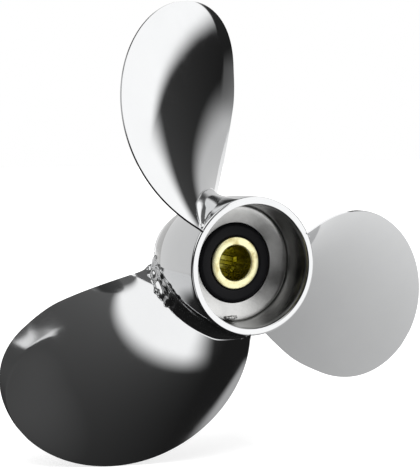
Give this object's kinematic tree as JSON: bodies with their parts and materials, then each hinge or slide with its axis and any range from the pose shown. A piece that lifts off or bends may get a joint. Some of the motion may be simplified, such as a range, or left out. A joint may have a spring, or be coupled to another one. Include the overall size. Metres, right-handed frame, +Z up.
{
  "type": "boat propeller",
  "caption": "Polished stainless right-hand outboard propeller with broad swept blades, a rubber cushion hub and a splined brass drive sleeve.",
  "frame": {"origin": "on the shaft axis, in the plane of the hub's forward rim", "axes": "+Y along the shaft axis, pointing aft; +Z up with the propeller turned as in the picture; +X to the right when seen from forward"},
  "size_m": [0.2113, 0.0615, 0.2043],
  "materials": {
    "polished_hub": "mirror-polished stainless steel",
    "cast_floor": "fine blasted cast stainless steel",
    "tack_weld": "rough weld metal",
    "rubber": "moulded black rubber, slight sheen",
    "brass": "machined pale brass, lightly stained",
    "polished_blade_upper": "mirror-polished stainless steel",
    "polished_blade_lower_left": "mirror-polished stainless steel",
    "polished_blade_right": "mirror-polished stainless steel",
    "root_weld_upper": "weld metal dressed smooth and polished",
    "root_weld_lower_left": "weld metal dressed smooth and polished, slightly lumpy",
    "root_weld_right": "weld metal dressed smooth and polished"
  },
  "bodies": {
    "sleeve": {"drive_sleeve": "brass"},
    "cushion": {"rubber_bush": "rubber"},
    "propeller": {"hub_barrel": "polished_hub", "bush_housing": "cast_floor", "housing_tack_weld": "tack_weld", "blade_upper": "polished_blade_upper", "blade_lower_left": "polished_blade_lower_left", "blade_right": "polished_blade_right", "root_weld_upper": "root_weld_upper", "root_weld_lower_left": "root_weld_lower_left", "root_weld_right": "root_weld_right"}
  },
  "joints": [
    {"name": "cushion_twist", "type": "hinge", "parent": "sleeve", "child": "cushion", "pos_m": [0, 0.034, 0], "axis": [0, 1, 0], "range_deg": [-8, 8], "stiffness_Nm_per_rad": 250},
    {"name": "overload_slip", "type": "hinge", "parent": "cushion", "child": "propeller", "pos_m": [0, 0.034, 0], "axis": [0, 1, 0], "continuous": true}
  ]
}
